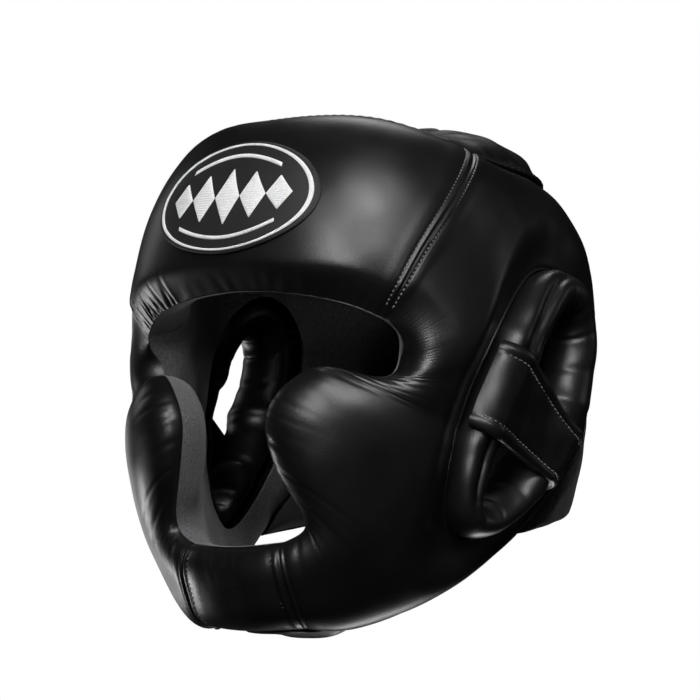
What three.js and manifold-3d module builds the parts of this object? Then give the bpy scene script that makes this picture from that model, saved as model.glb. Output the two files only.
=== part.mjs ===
// Full face boxing headgear: padded leather panels round a hollow the size of a head.
// Millimetres, +Z up. The face looks along -Y and the wearer's left is +X.
// The origin is the middle of the hollow, in the level plane where the forehead pad grips the head.
import * as THREE from "three";
import { mergeVertices } from "three/addons/utils/BufferGeometryUtils.js";
import Module from "manifold-3d";

const wasm = await Module();
wasm.setup();

// Turns a header and its rows into named columns.
function table(header, ...rows) {
  const names = header.split(" ");
  return rows.map((row) => Object.fromEntries(names.map((name, i) => [name, row[i]])));
}

// Driving sizes

const LINING = { thickness: 1.4, gap: 0.4, roll: 16 };
const PAD_BASE = LINING.thickness + 2 * LINING.gap; // from the hollow to the back of a pad
// The seam depths and the rounding of a pad's edges, as shares of its thickness, and the most rounding, as a
// share of a rib's length.
const EDGE = { faceLip: 0.6, outerLip: 0.4, roll: 0.52, most: 0.47, turns: [0, 45, 90] };
const SEAM = { gapAngle: 0.25, dip: 0.1, width: 5 }; // where two panels are sewn together
const ROUNDNESS = 2.4; // exponent of the hollow's level sections: 2 is an ellipse
const SLIVER = 1e-6; // triangles of a smaller area are left out
const WELD = 1e-3; // points closer than this are one

// The hollow that takes the head, as level sections.
const HOLLOW = table(
  "height halfWidth front rear",
  [-192, 54, 86.5, 66],
  [-160, 64, 96, 76],
  [-130, 73, 102, 84],
  [-95, 80, 104, 91],
  [-60, 84, 103, 96],
  [-25, 85, 102, 96],
  [5, 82, 101, 91],
  [30, 76, 95, 84.5],
  [50, 66, 83, 77],
  [64, 54, 70, 68],
  [76, 38, 51, 52],
);

// Where the padded panels end and the crown leather starts.
const RIM = table(
  "angle height",
  [0, 61.5],
  [25, 61.3],
  [45, 59.3],
  [62, 53.5],
  [76, 48.2],
  [90, 45.5],
  [110, 43.5],
  [127, 42],
  [180, 38],
);

// The ear opening is an egg shape in the side view, leaning back at its wide top.
const EAR = { y: -9, z: -72.5, halfWidth: 35.5, halfHeight: 71.5, lean: 29.5, taper: 0.21 };
const EAR_VALLEY = { reach: 1.45, depth: 0.4 };
const EAR_ROLL = { halfDepth: 16, middle: 18, gap: 0.8, stations: 28, sides: 8 };
// Half the roll's width, and how much more it is in front, at the top and at both sides.
const ROLL_WIDTH = { mean: 10.6, front: 0.85, top: 1.25, sides: 0.8 };
const EAR_STRAP = { halfWidth: 16, thickness: 2.2, middle: -7.5, skew: 4.5, flare: 12, gap: 0.6, wrap: 58 };

const CROWN = { rise: 27, lag: 2.1, thickness: 2.5, halfGap: 6, firstAngle: 8, seamGap: 1.5, offset: 9.5 };
const LACE = { radius: 1.6, sides: 5, steps: 58, bars: 5, first: 0.16, last: 0.88, gap: 0.3 };
const EYELET = { x: 13, radius: 2.9, sides: 6 };
const BADGE = { height: 20.5, halfAngle: 28.3, halfHeight: 23.4, thickness: 1.4, gap: 0.6 };
// The bend is 1 for a round sling and less for a flatter one. Below the chin guard, from a cosine of its
// turn, the strap is wider in front and tilted up there.
const CHIN_STRAP = {
  halfSpan: 39,
  top: -146,
  drop: 47,
  bend: 0.7,
  y: -67,
  width: 22,
  flare: 14,
  tilt: 3,
  flareFrom: 0.86,
  thickness: 3,
};

// Shape functions

const radians = THREE.MathUtils.degToRad;
const lerp = THREE.MathUtils.lerp;
const bulge = (t) => 4 * t * (1 - t);
const rounding = (x) => (x >= 1 ? 1 : Math.sqrt(1 - (1 - Math.max(x, 0)) ** 2));
const spread = (count, make) => Array.from({ length: count }, (_, i) => make(i));

// The value between two ends up to which a test holds, found by halving.
function halving(low, high, holds) {
  const rounds = 30;
  for (let i = 0; i < rounds; i++) {
    const middle = (low + high) / 2;
    if (holds(middle)) low = middle;
    else high = middle;
  }
  return low;
}

// A smooth function through the columns of a table, keyed by one column.
function tableAt(rows, key) {
  const names = Object.keys(rows[0]).filter((name) => name !== key);
  const keys = rows.map((row) => row[key]);
  const values = rows.flatMap((row) => names.map((name) => row[name]));
  const curve = new THREE.CubicInterpolant(keys, values, names.length);
  return (at) => {
    const found = curve.evaluate(at);
    return Object.fromEntries(names.map((name, i) => [name, found[i]]));
  };
}

const hollowAt = tableAt(HOLLOW, "height");
const rimAt = tableAt(RIM, "angle");
const rimHeight = (angle) => rimAt(Math.abs(angle)).height;

// A point of the hollow's surface. The angle is 0 at the nose and 90 at the wearer's left ear.
function onHollow(angle, height) {
  const section = hollowAt(height);
  const across = Math.sin(radians(angle));
  const ahead = Math.cos(radians(angle));
  const square = (Math.abs(across) ** ROUNDNESS + Math.abs(ahead) ** ROUNDNESS) ** (-1 / ROUNDNESS);
  const reach = ahead > 0 ? section.front : section.rear;
  return new THREE.Vector3(section.halfWidth * across * square, -reach * ahead * square, height);
}

function outward(angle, height) {
  const step = 0.5;
  const round = onHollow(angle + step, height).sub(onHollow(angle - step, height));
  const rise = onHollow(angle, height + step).sub(onHollow(angle, height - step));
  return round.cross(rise).normalize();
}

function padPoint(angle, height, offset) {
  return onHollow(angle, height).addScaledVector(outward(angle, height), offset);
}

// The angle at which the left half of the hollow passes a place of the side view.
function sideAngle(y, height) {
  return halving(0, 180, (angle) => onHollow(angle, height).y < y);
}

function sidePoint(place, offset) {
  return padPoint(sideAngle(place.y, place.z), place.z, offset);
}

// Solids from grids of points

function addTriangle(out, a, b, c) {
  const area = b.clone().sub(a).cross(c.clone().sub(a)).length();
  if (area > SLIVER) out.push(...a.toArray(), ...b.toArray(), ...c.toArray());
}

// Four corners as two triangles, split along the shorter diagonal.
function addQuad(out, a, b, c, d) {
  if (a.distanceTo(c) <= b.distanceTo(d)) {
    addTriangle(out, a, b, c);
    addTriangle(out, a, c, d);
  } else {
    addTriangle(out, b, c, d);
    addTriangle(out, b, d, a);
  }
}

function geometryOf(positions) {
  const geometry = new THREE.BufferGeometry();
  geometry.setAttribute("position", new THREE.Float32BufferAttribute(positions, 3));
  geometry.computeVertexNormals();
  return geometry;
}

// A wall between two matching grids, closed along its borders. A round grid comes back to its first column.
function wall({ outer, inner, round = false }) {
  const out = [];
  const rows = outer.length - 1;
  const columns = outer[0].length - 1;
  for (let i = 0; i < rows; i++) {
    for (let j = 0; j < columns; j++) {
      addQuad(out, outer[i][j], outer[i + 1][j], outer[i + 1][j + 1], outer[i][j + 1]);
      addQuad(out, inner[i][j], inner[i][j + 1], inner[i + 1][j + 1], inner[i + 1][j]);
    }
    if (round) continue;
    addQuad(out, inner[i][0], inner[i + 1][0], outer[i + 1][0], outer[i][0]);
    addQuad(out, outer[i][columns], outer[i + 1][columns], inner[i + 1][columns], inner[i][columns]);
  }
  for (let j = 0; j < columns; j++) {
    addQuad(out, outer[0][j], outer[0][j + 1], inner[0][j + 1], inner[0][j]);
    addQuad(out, inner[rows][j], inner[rows][j + 1], outer[rows][j + 1], outer[rows][j]);
  }
  return geometryOf(out);
}

// A ring closed on itself both ways.
function ring(stations, sides, point) {
  const out = [];
  const at = (i, j) => point((i % stations) / stations, (j % sides) / sides);
  for (let i = 0; i < stations; i++) {
    for (let j = 0; j < sides; j++) addQuad(out, at(i, j), at(i + 1, j), at(i + 1, j + 1), at(i, j + 1));
  }
  return geometryOf(out);
}

// A round rod along a path.
function rod(path, radius, steps, sides) {
  const shape = new THREE.Shape();
  for (let i = 0; i < sides; i++) {
    const turn = (2 * Math.PI * i) / sides;
    if (i === 0) shape.moveTo(radius * Math.cos(turn), radius * Math.sin(turn));
    else shape.lineTo(radius * Math.cos(turn), radius * Math.sin(turn));
  }
  return new THREE.ExtrudeGeometry(shape, { steps, extrudePath: path });
}

function solidOf(geometry) {
  const bare = new THREE.BufferGeometry().setAttribute("position", geometry.getAttribute("position"));
  if (geometry.index) bare.setIndex(geometry.index);
  const merged = mergeVertices(bare, WELD);
  const vertProperties = merged.attributes.position.array;
  const triVerts = new Uint32Array(merged.index.array);
  return new wasm.Manifold(new wasm.Mesh({ numProp: 3, vertProperties, triVerts }));
}

function cut(geometry, cutters) {
  const solid = cutters.reduce((left, cutter) => left.subtract(solidOf(cutter)), solidOf(geometry));
  const mesh = solid.getMesh();
  const result = new THREE.BufferGeometry();
  result.setAttribute("position", new THREE.BufferAttribute(mesh.vertProperties, 3));
  result.setIndex(new THREE.BufferAttribute(mesh.triVerts, 1));
  result.computeVertexNormals();
  return result;
}

// Padded panels

// Each row of a panel's table is a rib across it, from its face edge to its outer edge.
// The bows bend a rib sideways or upwards in its middle.
const RIB = "faceAngle faceHeight outerAngle outerHeight faceThickness outerThickness bowAngle bowHeight";

// Half a panel's table with its other half added. Both angles of a pair add up to the given sum.
function mirrored(half, sum) {
  const turn = (rib) => ({ ...rib, faceAngle: sum - rib.faceAngle, outerAngle: sum - rib.outerAngle });
  const bend = (rib) => ({ ...rib, bowAngle: -rib.bowAngle });
  return [...half.slice(1).reverse().map(turn).map(bend), ...half];
}

// A rib moved round the head, to leave the gap of a seam.
function shifted(rib, angle) {
  return { ...rib, faceAngle: rib.faceAngle + angle, outerAngle: rib.outerAngle + angle };
}

const rimRib = (rib) => ({ ...rib, outerHeight: rimHeight(rib.outerAngle) });

const [TEMPLE_SEAM, CHIN_SEAM] = table(
  RIB,
  [42.3, -36.2, 75, 48.5, 33, 15, -5, 0],
  [18.5, -141.5, 23, -183, 28, 22, 0, 0],
);

const FOREHEAD_RIBS = mirrored(
  table(
    RIB,
    [0, -20, 0, 60, 26, 19.5, 0, 0],
    [17, -22, 25, 60, 27, 20, 0, 0],
    [32, -27.8, 51, 58, 31, 19, -2, 0],
  ).concat(shifted(TEMPLE_SEAM, -SEAM.gapAngle)),
  0,
).map(rimRib);

const SIDE_RIBS = [
  shifted(TEMPLE_SEAM, SEAM.gapAngle),
  ...table(
    RIB,
    [44.7, -40.4, 90, 45, 35, 14, -4, 0],
    [46.3, -45, 110, 42.8, 36, 13, -2, 0],
    [47, -50.5, 140, 39.5, 36.5, 13, 0, 0],
    [46.6, -57, 171, 34.5, 36.5, 14, 0, 0],
    [44.6, -62.2, 174, -9, 35.5, 14.5, 0, 0],
    [40.4, -63.8, 143, -40, 34, 17.5, 0, -10],
    [34.3, -61.3, 132, -71, 32.5, 20, 0, -22],
    [26.8, -60, 121, -97, 32.5, 21, 0, -16],
    [19.5, -70, 106, -119, 36.5, 22, 0, -9],
    [15.7, -84, 92, -136, 37.5, 23.5, 0, -5],
    [16.7, -100, 75, -156, 36.5, 24, 0, 0],
    [21, -117, 57.5, -173.5, 33.5, 22, 0, 0],
    [25.5, -133, 38, -184, 30, 19.5, 0, 0],
  ),
  shifted(CHIN_SEAM, SEAM.gapAngle),
];

const CHIN_RIBS = mirrored(
  table(RIB, [0, -143.5, 0, -184.5, 28.5, 24.5, 0, 0], [9, -143, 11, -184, 28.5, 24.5, 0, 0]).concat(
    shifted(CHIN_SEAM, -SEAM.gapAngle),
  ),
  0,
).reverse();

const REAR_RIBS = table(
  RIB,
  [175, -13, 185, -13, 18, 18, 0, 0],
  [144, -41.5, 216, -41.5, 20, 20, 0, 8],
  [133, -72, 227, -72, 20, 20, 0, 8],
  [122.5, -98, 237.5, -98, 20, 20, 0, 10],
  [108, -120.5, 252, -120.5, 19, 19, 0, 12],
  [95.5, -137, 264.5, -137, 18, 18, 0, 14],
);

// The same smooth function through ribs, spread evenly over 0 to 1.
function ribsAt(ribs) {
  return tableAt(
    ribs.map((rib, i) => ({ ...rib, along: i / (ribs.length - 1) })),
    "along",
  );
}

function ribPlace(rib, t) {
  return {
    angle: lerp(rib.faceAngle, rib.outerAngle, t) + rib.bowAngle * bulge(t),
    height: lerp(rib.faceHeight, rib.outerHeight, t) + rib.bowHeight * bulge(t),
    thickness: lerp(rib.faceThickness, rib.outerThickness, t),
  };
}

function lengthOf(points) {
  return points.slice(1).reduce((sum, point, i) => sum + point.distanceTo(points[i]), 0);
}

function ribLength(rib) {
  const steps = 8;
  const points = spread(steps + 1, (i) => ribPlace(rib, i / steps));
  return lengthOf(points.map((place) => onHollow(place.angle, place.height)));
}

// Distances across a panel: close together on the rounded edges, even between them.
function stations(length, roll, between) {
  const edge = EDGE.turns.map((turn) => roll * (1 - Math.cos(radians(turn))));
  const flat = length - 2 * roll;
  const middle = spread(between, (i) => roll + (flat * (i + 1)) / (between + 1));
  return [...edge, ...middle, ...edge.map((far) => length - far).reverse()];
}

// How far a place lies out from the ear opening's middle: 1 on its edge.
function earShare(point) {
  const lean = radians(EAR.lean);
  const across = (point.y - EAR.y) * Math.cos(lean) - (point.z - EAR.z) * Math.sin(lean);
  const upright = ((point.y - EAR.y) * Math.sin(lean) + (point.z - EAR.z) * Math.cos(lean)) / EAR.halfHeight;
  const width = 1 + EAR.taper * THREE.MathUtils.clamp(upright, -1, 1);
  return Math.hypot(across / (EAR.halfWidth * width), upright);
}

// Padding gets thinner towards the ear opening.
function earValley(point) {
  const near = 1 - THREE.MathUtils.smoothstep(earShare(point), 1, EAR_VALLEY.reach);
  return 1 - EAR_VALLEY.depth * near;
}

// The grids of a padded panel and of the lining behind it.
// The ends of a panel are either flat, where it is sewn to the next one, or rounded like its edges.
function padGrids(ribs, { along, between, roundEnds = false, valley = false }) {
  const ribAt = ribsAt(ribs);
  const steps = 24;
  const spine = lengthOf(
    spread(steps + 1, (i) => {
      const place = ribPlace(ribAt(i / steps), 0.5);
      return onHollow(place.angle, place.height);
    }),
  );
  const endRoll = roundEnds ? EDGE.roll * ribs[0].faceThickness : SEAM.width;
  const grids = { outer: [], inner: [], liningOuter: [], liningInner: [] };
  for (const down of stations(spine, endRoll, along)) {
    const rib = ribAt(down / spine);
    const length = ribLength(rib);
    const roll = Math.min(EDGE.roll * Math.max(rib.faceThickness, rib.outerThickness), EDGE.most * length);
    const end = rounding(down / endRoll) * rounding((spine - down) / endRoll);
    const rows = { outer: [], inner: [], liningOuter: [], liningInner: [] };
    for (const far of stations(length, roll, between)) {
      const place = ribPlace(rib, far / length);
      const dip = roundEnds ? 1 : 1 - SEAM.dip * (1 - end);
      const ear = valley ? earValley(onHollow(place.angle, place.height)) : 1;
      const thickness = place.thickness * dip * ear;
      const lip = lerp(EDGE.faceLip, EDGE.outerLip, far / length) * thickness;
      const closing = roundEnds ? end : 1;
      const swell = closing * rounding(far / roll) * rounding((length - far) / roll);
      const settle = closing * rounding(far / LINING.roll) * rounding((length - far) / LINING.roll);
      const back = PAD_BASE + lip * (1 - settle);
      const at = (offset) => padPoint(place.angle, place.height, offset);
      rows.outer.push(at(PAD_BASE + lip + (thickness - lip) * swell));
      rows.inner.push(at(back));
      rows.liningOuter.push(at(back - LINING.gap));
      rows.liningInner.push(at(back - LINING.gap - LINING.thickness));
    }
    for (const name of Object.keys(grids)) grids[name].push(rows[name]);
  }
  return grids;
}

const liningOf = (grids) => wall({ outer: grids.liningOuter, inner: grids.liningInner });

// Ear opening, ear guard and its strap

// A place of the side view, from its distances across and along the leaning ear opening.
function earFrame(across, upright) {
  const lean = radians(EAR.lean);
  return {
    y: EAR.y + across * Math.cos(lean) + upright * Math.sin(lean),
    z: EAR.z - across * Math.sin(lean) + upright * Math.cos(lean),
  };
}

// Half the width of the egg at a height along it, a given way in from the opening's edge.
function eggHalfWidth(upright, inset) {
  const share = upright / (EAR.halfHeight - inset);
  return (EAR.halfWidth - inset) * (1 + EAR.taper * share) * Math.sqrt(1 - share * share);
}

function eggPlace(turn, inset) {
  const wide = (EAR.halfWidth - inset) * (1 + EAR.taper * Math.sin(turn));
  return earFrame(wide * Math.cos(turn), (EAR.halfHeight - inset) * Math.sin(turn));
}

// A plug through the wall, to cut the ear opening.
function earPlug() {
  const sides = 32;
  const deep = -14;
  const proud = 60;
  const rim = (offset) => {
    return spread(sides + 1, (i) => sidePoint(eggPlace((2 * Math.PI * (i % sides)) / sides, 0), offset));
  };
  const middle = (offset) => spread(sides + 1, () => sidePoint(EAR, offset));
  return wall({ outer: [middle(proud), rim(proud)], inner: [middle(deep), rim(deep)], round: true });
}

// Half the roll's width along it: a turn of 0 is its rear, a quarter turn its top.
function rollHalfWidth(turn) {
  const ends = ROLL_WIDTH.top * Math.sin(turn) - ROLL_WIDTH.front * Math.cos(turn);
  return ROLL_WIDTH.mean + ends + ROLL_WIDTH.sides * Math.cos(2 * turn);
}

function earGuard() {
  return ring(EAR_ROLL.stations, EAR_ROLL.sides, (along, round) => {
    const turn = 2 * Math.PI * along;
    const side = 2 * Math.PI * round;
    const inset = EAR_ROLL.gap + rollHalfWidth(turn) * (1 - Math.cos(side));
    const place = eggPlace(turn, inset);
    return sidePoint(place, EAR_ROLL.middle + EAR_ROLL.halfDepth * Math.sin(side));
  });
}

// Half the roll's width at a height along the opening, on its front side, -1, or its rear side, 1.
function limbHalfWidth(level, side) {
  const rise = Math.asin(level / (EAR.halfHeight - EAR_ROLL.gap - ROLL_WIDTH.mean));
  return rollHalfWidth(side < 0 ? Math.PI - rise : rise);
}

// A strap across the ear guard, bent down over the outside of both of its limbs. It is wider in front.
function earStrap() {
  const wrapSteps = 3;
  const spans = 4;
  const columns = 3;
  const bends = spread(wrapSteps, (i) => radians((EAR_STRAP.wrap * (wrapSteps - i)) / wrapSteps));
  const rows = [
    ...bends.map((bend) => ({ side: -1, bend })),
    ...spread(spans + 1, (i) => ({ side: lerp(-1, 1, i / spans), bend: 0 })),
    ...bends.reverse().map((bend) => ({ side: 1, bend })),
  ];
  const grid = (lift) =>
    rows.map(({ side, bend }) =>
      spread(columns + 1, (j) => {
        const edge = (2 * j) / columns - 1;
        const flare = (EAR_STRAP.flare * (1 - side) * (1 - edge)) / 4;
        const level = EAR_STRAP.middle + EAR_STRAP.halfWidth * edge - EAR_STRAP.skew * side - flare;
        const halfWidth = limbHalfWidth(level, side);
        const reach = (halfWidth + lift) * Math.sin(bend);
        const across = side * (eggHalfWidth(level, EAR_ROLL.gap + halfWidth) + reach);
        const offset = EAR_ROLL.middle + (EAR_ROLL.halfDepth + lift) * Math.cos(bend);
        return sidePoint(earFrame(across, level), offset);
      }),
    );
  return wall({ outer: grid(EAR_STRAP.gap + EAR_STRAP.thickness), inner: grid(EAR_STRAP.gap) });
}

// Crown leather and its lace

const rimPoint = (angle) => padPoint(angle, rimHeight(angle) + CROWN.seamGap, CROWN.offset);

// A point of the left crown flap: share is 0 on the rim and 1 at the gap over the mid-line.
function crownPoint(angle, share) {
  const rim = rimPoint(angle);
  const first = rimPoint(0);
  const last = rimPoint(180);
  const along = (1 - Math.cos(radians(angle))) / 2;
  const middle = first.clone().lerp(last, along);
  middle.z += CROWN.rise * Math.sin(Math.PI * along ** CROWN.lag);
  const turn = (share * Math.PI) / 2;
  return new THREE.Vector3(
    CROWN.halfGap + (rim.x - CROWN.halfGap) * Math.cos(turn),
    lerp(rim.y, middle.y, share),
    rim.z + (middle.z - rim.z) * Math.sin(turn),
  );
}

function crownNormal(angle, share) {
  const turn = 1;
  const step = 0.02;
  const round = crownPoint(angle + turn, share).sub(crownPoint(angle - turn, share));
  const above = crownPoint(angle, Math.min(share + step, 1));
  const rise = above.sub(crownPoint(angle, Math.max(share - step, 0)));
  return round.cross(rise).normalize();
}

function crownOffset(angle, share, offset) {
  return crownPoint(angle, share).addScaledVector(crownNormal(angle, share), offset);
}

// The share at which the flap passes the row of eyelets.
function eyeletShare(angle) {
  const reach = (EYELET.x - CROWN.halfGap) / (rimPoint(angle).x - CROWN.halfGap);
  return (2 * Math.acos(reach)) / Math.PI;
}

const eyeletAngles = spread(LACE.bars, (i) => {
  const along = lerp(LACE.first, LACE.last, i / (LACE.bars - 1));
  return THREE.MathUtils.radToDeg(Math.acos(1 - 2 * along));
});

function crownFlap() {
  const rows = 10;
  const columns = 5;
  const grid = (offset) =>
    spread(rows + 1, (i) => {
      const angle = lerp(CROWN.firstAngle, 180 - CROWN.firstAngle, i / rows);
      return spread(columns + 1, (j) => crownOffset(angle, j / columns, offset));
    });
  const holes = eyeletAngles.map((angle) => {
    const share = eyeletShare(angle);
    const reach = 4;
    const path = new THREE.LineCurve3(
      crownOffset(angle, share, -CROWN.thickness - reach),
      crownOffset(angle, share, reach),
    );
    return rod(path, EYELET.radius, 1, EYELET.sides);
  });
  return cut(wall({ outer: grid(0), inner: grid(-CROWN.thickness) }), holes);
}

// One lace: straight bars over the gap, joined by slanting runs under the flaps.
function crownLace() {
  const lift = LACE.radius + LACE.gap;
  const side = (angle, offset, flip) => {
    const point = crownOffset(angle, eyeletShare(angle), offset);
    if (flip) point.x = -point.x;
    return point;
  };
  const points = eyeletAngles.flatMap((angle) => [
    side(angle, -CROWN.thickness - lift, false),
    side(angle, -CROWN.thickness / 2, false),
    side(angle, lift, false),
    side(angle, lift, true),
    side(angle, -CROWN.thickness / 2, true),
    side(angle, -CROWN.thickness - lift, true),
  ]);
  return rod(new THREE.CatmullRomCurve3(points, false, "centripetal"), LACE.radius, LACE.steps, LACE.sides);
}

// Badge and chin strap

// The oval patch follows the curve of the forehead pad.
function browBadge() {
  const sides = 24;
  const rings = 3;
  const ribAt = ribsAt(FOREHEAD_RIBS);
  const foreheadPlace = (along, height) => {
    const rib = ribAt(along);
    return ribPlace(rib, (height - rib.faceHeight) / (rib.outerHeight - rib.faceHeight));
  };
  const face = (lift) =>
    spread(rings + 1, (i) =>
      spread(sides + 1, (j) => {
        const turn = (-2 * Math.PI * (j % sides)) / sides;
        const share = 1 - i / rings;
        const angle = BADGE.halfAngle * share * Math.cos(turn);
        const height = BADGE.height + BADGE.halfHeight * share * Math.sin(turn);
        const along = halving(0, 1, (trial) => foreheadPlace(trial, height).angle < angle);
        return padPoint(angle, height, PAD_BASE + foreheadPlace(along, height).thickness + BADGE.gap + lift);
      }),
    );
  return wall({ outer: face(BADGE.thickness), inner: face(0), round: true });
}

// A sling under the chin, sewn inside both jaws.
function chinStrap() {
  const steps = 16;
  const grid = (lift) =>
    spread(steps + 1, (i) => {
      const turn = lerp(-Math.PI / 2, Math.PI / 2, i / steps);
      const out = Math.sign(turn) * Math.abs(Math.sin(turn)) ** CHIN_STRAP.bend;
      const x = (CHIN_STRAP.halfSpan + lift) * out;
      const z = CHIN_STRAP.top - (CHIN_STRAP.drop + lift) * Math.abs(Math.cos(turn)) ** CHIN_STRAP.bend;
      const below = THREE.MathUtils.smoothstep(Math.cos(turn), CHIN_STRAP.flareFrom, 1);
      const rear = CHIN_STRAP.y + CHIN_STRAP.width / 2;
      const front = CHIN_STRAP.y - CHIN_STRAP.width / 2 - CHIN_STRAP.flare * below;
      return [new THREE.Vector3(x, rear, z), new THREE.Vector3(x, front, z + CHIN_STRAP.tilt * below)];
    });
  return wall({ outer: grid(0), inner: grid(-CHIN_STRAP.thickness) });
}

// Assembly

const parts = new THREE.Group();

function cloth(color, roughness) {
  return new THREE.MeshStandardMaterial({ color, roughness, metalness: 0 });
}

const BLACK_LEATHER = cloth(0x161616, 0.42);
const SOFT_LEATHER = cloth(0x1a1a1a, 0.5);
const GREY_LINING = cloth(0x5c5c5c, 0.9);
const MATT_WEBBING = cloth(0x101010, 0.95);
const PATCH = cloth(0x202020, 0.6);

function add(name, geometry, material) {
  const mesh = new THREE.Mesh(geometry, material);
  mesh.name = name;
  parts.add(mesh);
  return mesh;
}

function addPair(name, geometry, material) {
  add(name + "_left", geometry, material);
  add(name + "_right", geometry, material).scale.x = -1;
}

const foreheadGrids = padGrids(FOREHEAD_RIBS, { along: 11, between: 3 });
const sideGrids = padGrids(SIDE_RIBS, { along: 26, between: 3, valley: true });
const chinGrids = padGrids(CHIN_RIBS, { along: 5, between: 2 });
const rearGrids = padGrids(REAR_RIBS, { along: 5, between: 7, roundEnds: true });

add("forehead_pad", wall(foreheadGrids), BLACK_LEATHER);
addPair("side_pad", cut(wall(sideGrids), [earPlug()]), BLACK_LEATHER);
add("chin_guard", wall(chinGrids), BLACK_LEATHER);
addPair("ear_guard", earGuard(), SOFT_LEATHER);
addPair("ear_strap", earStrap(), SOFT_LEATHER);
add("forehead_lining", liningOf(foreheadGrids), GREY_LINING);
addPair("side_lining", cut(liningOf(sideGrids), [earPlug()]), GREY_LINING);
add("chin_lining", liningOf(chinGrids), GREY_LINING);
addPair("crown_flap", crownFlap(), SOFT_LEATHER);
add("crown_lace", crownLace(), SOFT_LEATHER);
add("rear_closure", wall(rearGrids), MATT_WEBBING);
add("chin_strap", chinStrap(), SOFT_LEATHER);
add("brow_badge", browBadge(), PATCH);

export default parts;
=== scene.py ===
# Full face boxing headgear: leather, stitching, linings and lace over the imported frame.
# Sizes are millimetres and angles degrees, in the part's own frame. MM turns points into metres.
import math
from collections import namedtuple
from types import SimpleNamespace as Sizes

import bmesh
import bpy
import numpy as np
from mathutils import Matrix, Vector
from mathutils.kdtree import KDTree


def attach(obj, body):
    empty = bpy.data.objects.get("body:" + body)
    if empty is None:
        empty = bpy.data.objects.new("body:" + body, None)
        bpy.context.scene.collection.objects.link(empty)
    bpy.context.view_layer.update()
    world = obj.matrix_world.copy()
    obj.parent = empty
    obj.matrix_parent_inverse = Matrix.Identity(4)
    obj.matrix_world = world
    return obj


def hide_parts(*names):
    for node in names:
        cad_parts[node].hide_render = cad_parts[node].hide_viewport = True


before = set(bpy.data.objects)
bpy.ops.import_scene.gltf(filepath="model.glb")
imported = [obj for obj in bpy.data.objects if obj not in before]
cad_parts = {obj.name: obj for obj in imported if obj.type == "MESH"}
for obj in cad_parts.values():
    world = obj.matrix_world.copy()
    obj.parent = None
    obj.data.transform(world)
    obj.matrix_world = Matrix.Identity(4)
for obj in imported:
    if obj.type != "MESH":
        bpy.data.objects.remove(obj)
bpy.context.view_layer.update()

MM = 0.001
SEED = 7

# Camera and studio

VIEW = Sizes(azimuth=37, elevation=-4.6, distance=1500, focal_px=2805, frame_px=700)
ORIGIN_PX = (375, 273)  # where the part's origin lies in the picture
SENSOR = 36.0
WHITE = (1, 1, 1, 1)
FLOOR = Sizes(radius=1900, z=-320, sides=96, tone=0.86, dark_tone=0.8428, roughness=0.9, glow=0.75)
WORLD_LIGHT = 0.004
LAMP = Sizes(distance=1500, spread=40, aim=(0, 0, -60))
# azimuth, elevation, width, height, power in watts
LAMPS = {
    "key": (48, 42, 700, 460, 0.95),
    "front": (19, 20, 420, 700, 0.85),
    "side": (70, 30, 300, 420, 0.05),
    "rim": (-118, -5, 320, 520, 0.05),
    "temple": (-92, 20, 420, 700, 0.06),
    "brow": (-90, -18, 500, 300, 0.24),
    "back": (-150, 58, 700, 460, 0.3),
    "rear": (135, 20, 300, 420, 0.03),
    "low": (-165, -52, 700, 500, 0.5),
}


def add_object(name, data):
    thing = bpy.data.objects.new(name, data)
    bpy.context.collection.objects.link(thing)
    return thing


def view_axes(azimuth, elevation):
    """Unit vectors from the subject back to the viewer, to the viewer's right, and up."""
    turn, rise = math.radians(azimuth), math.radians(elevation)
    back = Vector((math.sin(turn) * math.cos(rise), -math.cos(turn) * math.cos(rise), math.sin(rise)))
    right = Vector((math.cos(turn), math.sin(turn), 0))
    return back, right, back.cross(right)


def aim(thing, position, back, right, up):
    """Puts a camera or a lamp at a position, looking against the back vector."""
    turn = Matrix((right, up, back)).transposed().to_4x4()
    thing.matrix_world = Matrix.Translation(position * MM) @ turn


def add_camera():
    back, right, up = view_axes(VIEW.azimuth, VIEW.elevation)
    scale = VIEW.distance / VIEW.focal_px
    aside, above = (VIEW.frame_px / 2 - pixel for pixel in ORIGIN_PX)
    data = bpy.data.cameras.new("camera")
    data.sensor_width = SENSOR
    data.lens = SENSOR * VIEW.focal_px / VIEW.frame_px
    camera = add_object("camera", data)
    aim(camera, back * VIEW.distance + (right * aside - up * above) * scale, back, right, up)
    bpy.context.scene.camera = camera
    bpy.context.scene.view_settings.view_transform = "Standard"


def add_lamps():
    for name, (azimuth, elevation, width, height, power) in LAMPS.items():
        axes = view_axes(azimuth, elevation)
        data = bpy.data.lights.new(name, "AREA")
        data.shape = "RECTANGLE"
        data.size = width * MM
        data.size_y = height * MM
        data.spread = math.radians(LAMP.spread)
        data.energy = power
        aim(add_object(name, data), Vector(LAMP.aim) + axes[0] * LAMP.distance, *axes)


def add_world():
    """White to the camera, and a dim even light on the part."""
    world = bpy.data.worlds.new("studio")
    bpy.context.scene.world = world
    world.use_nodes = True
    tree = world.node_tree
    ray = add_node(tree, "LightPath", "Is Camera Ray")
    strength = add_node(tree, "MapRange", "Result", {"Value": ray, "To Min": WORLD_LIGHT, "To Max": 1.0})
    fill_inputs(tree, tree.nodes["Background"], {"Color": WHITE, "Strength": strength})


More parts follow.
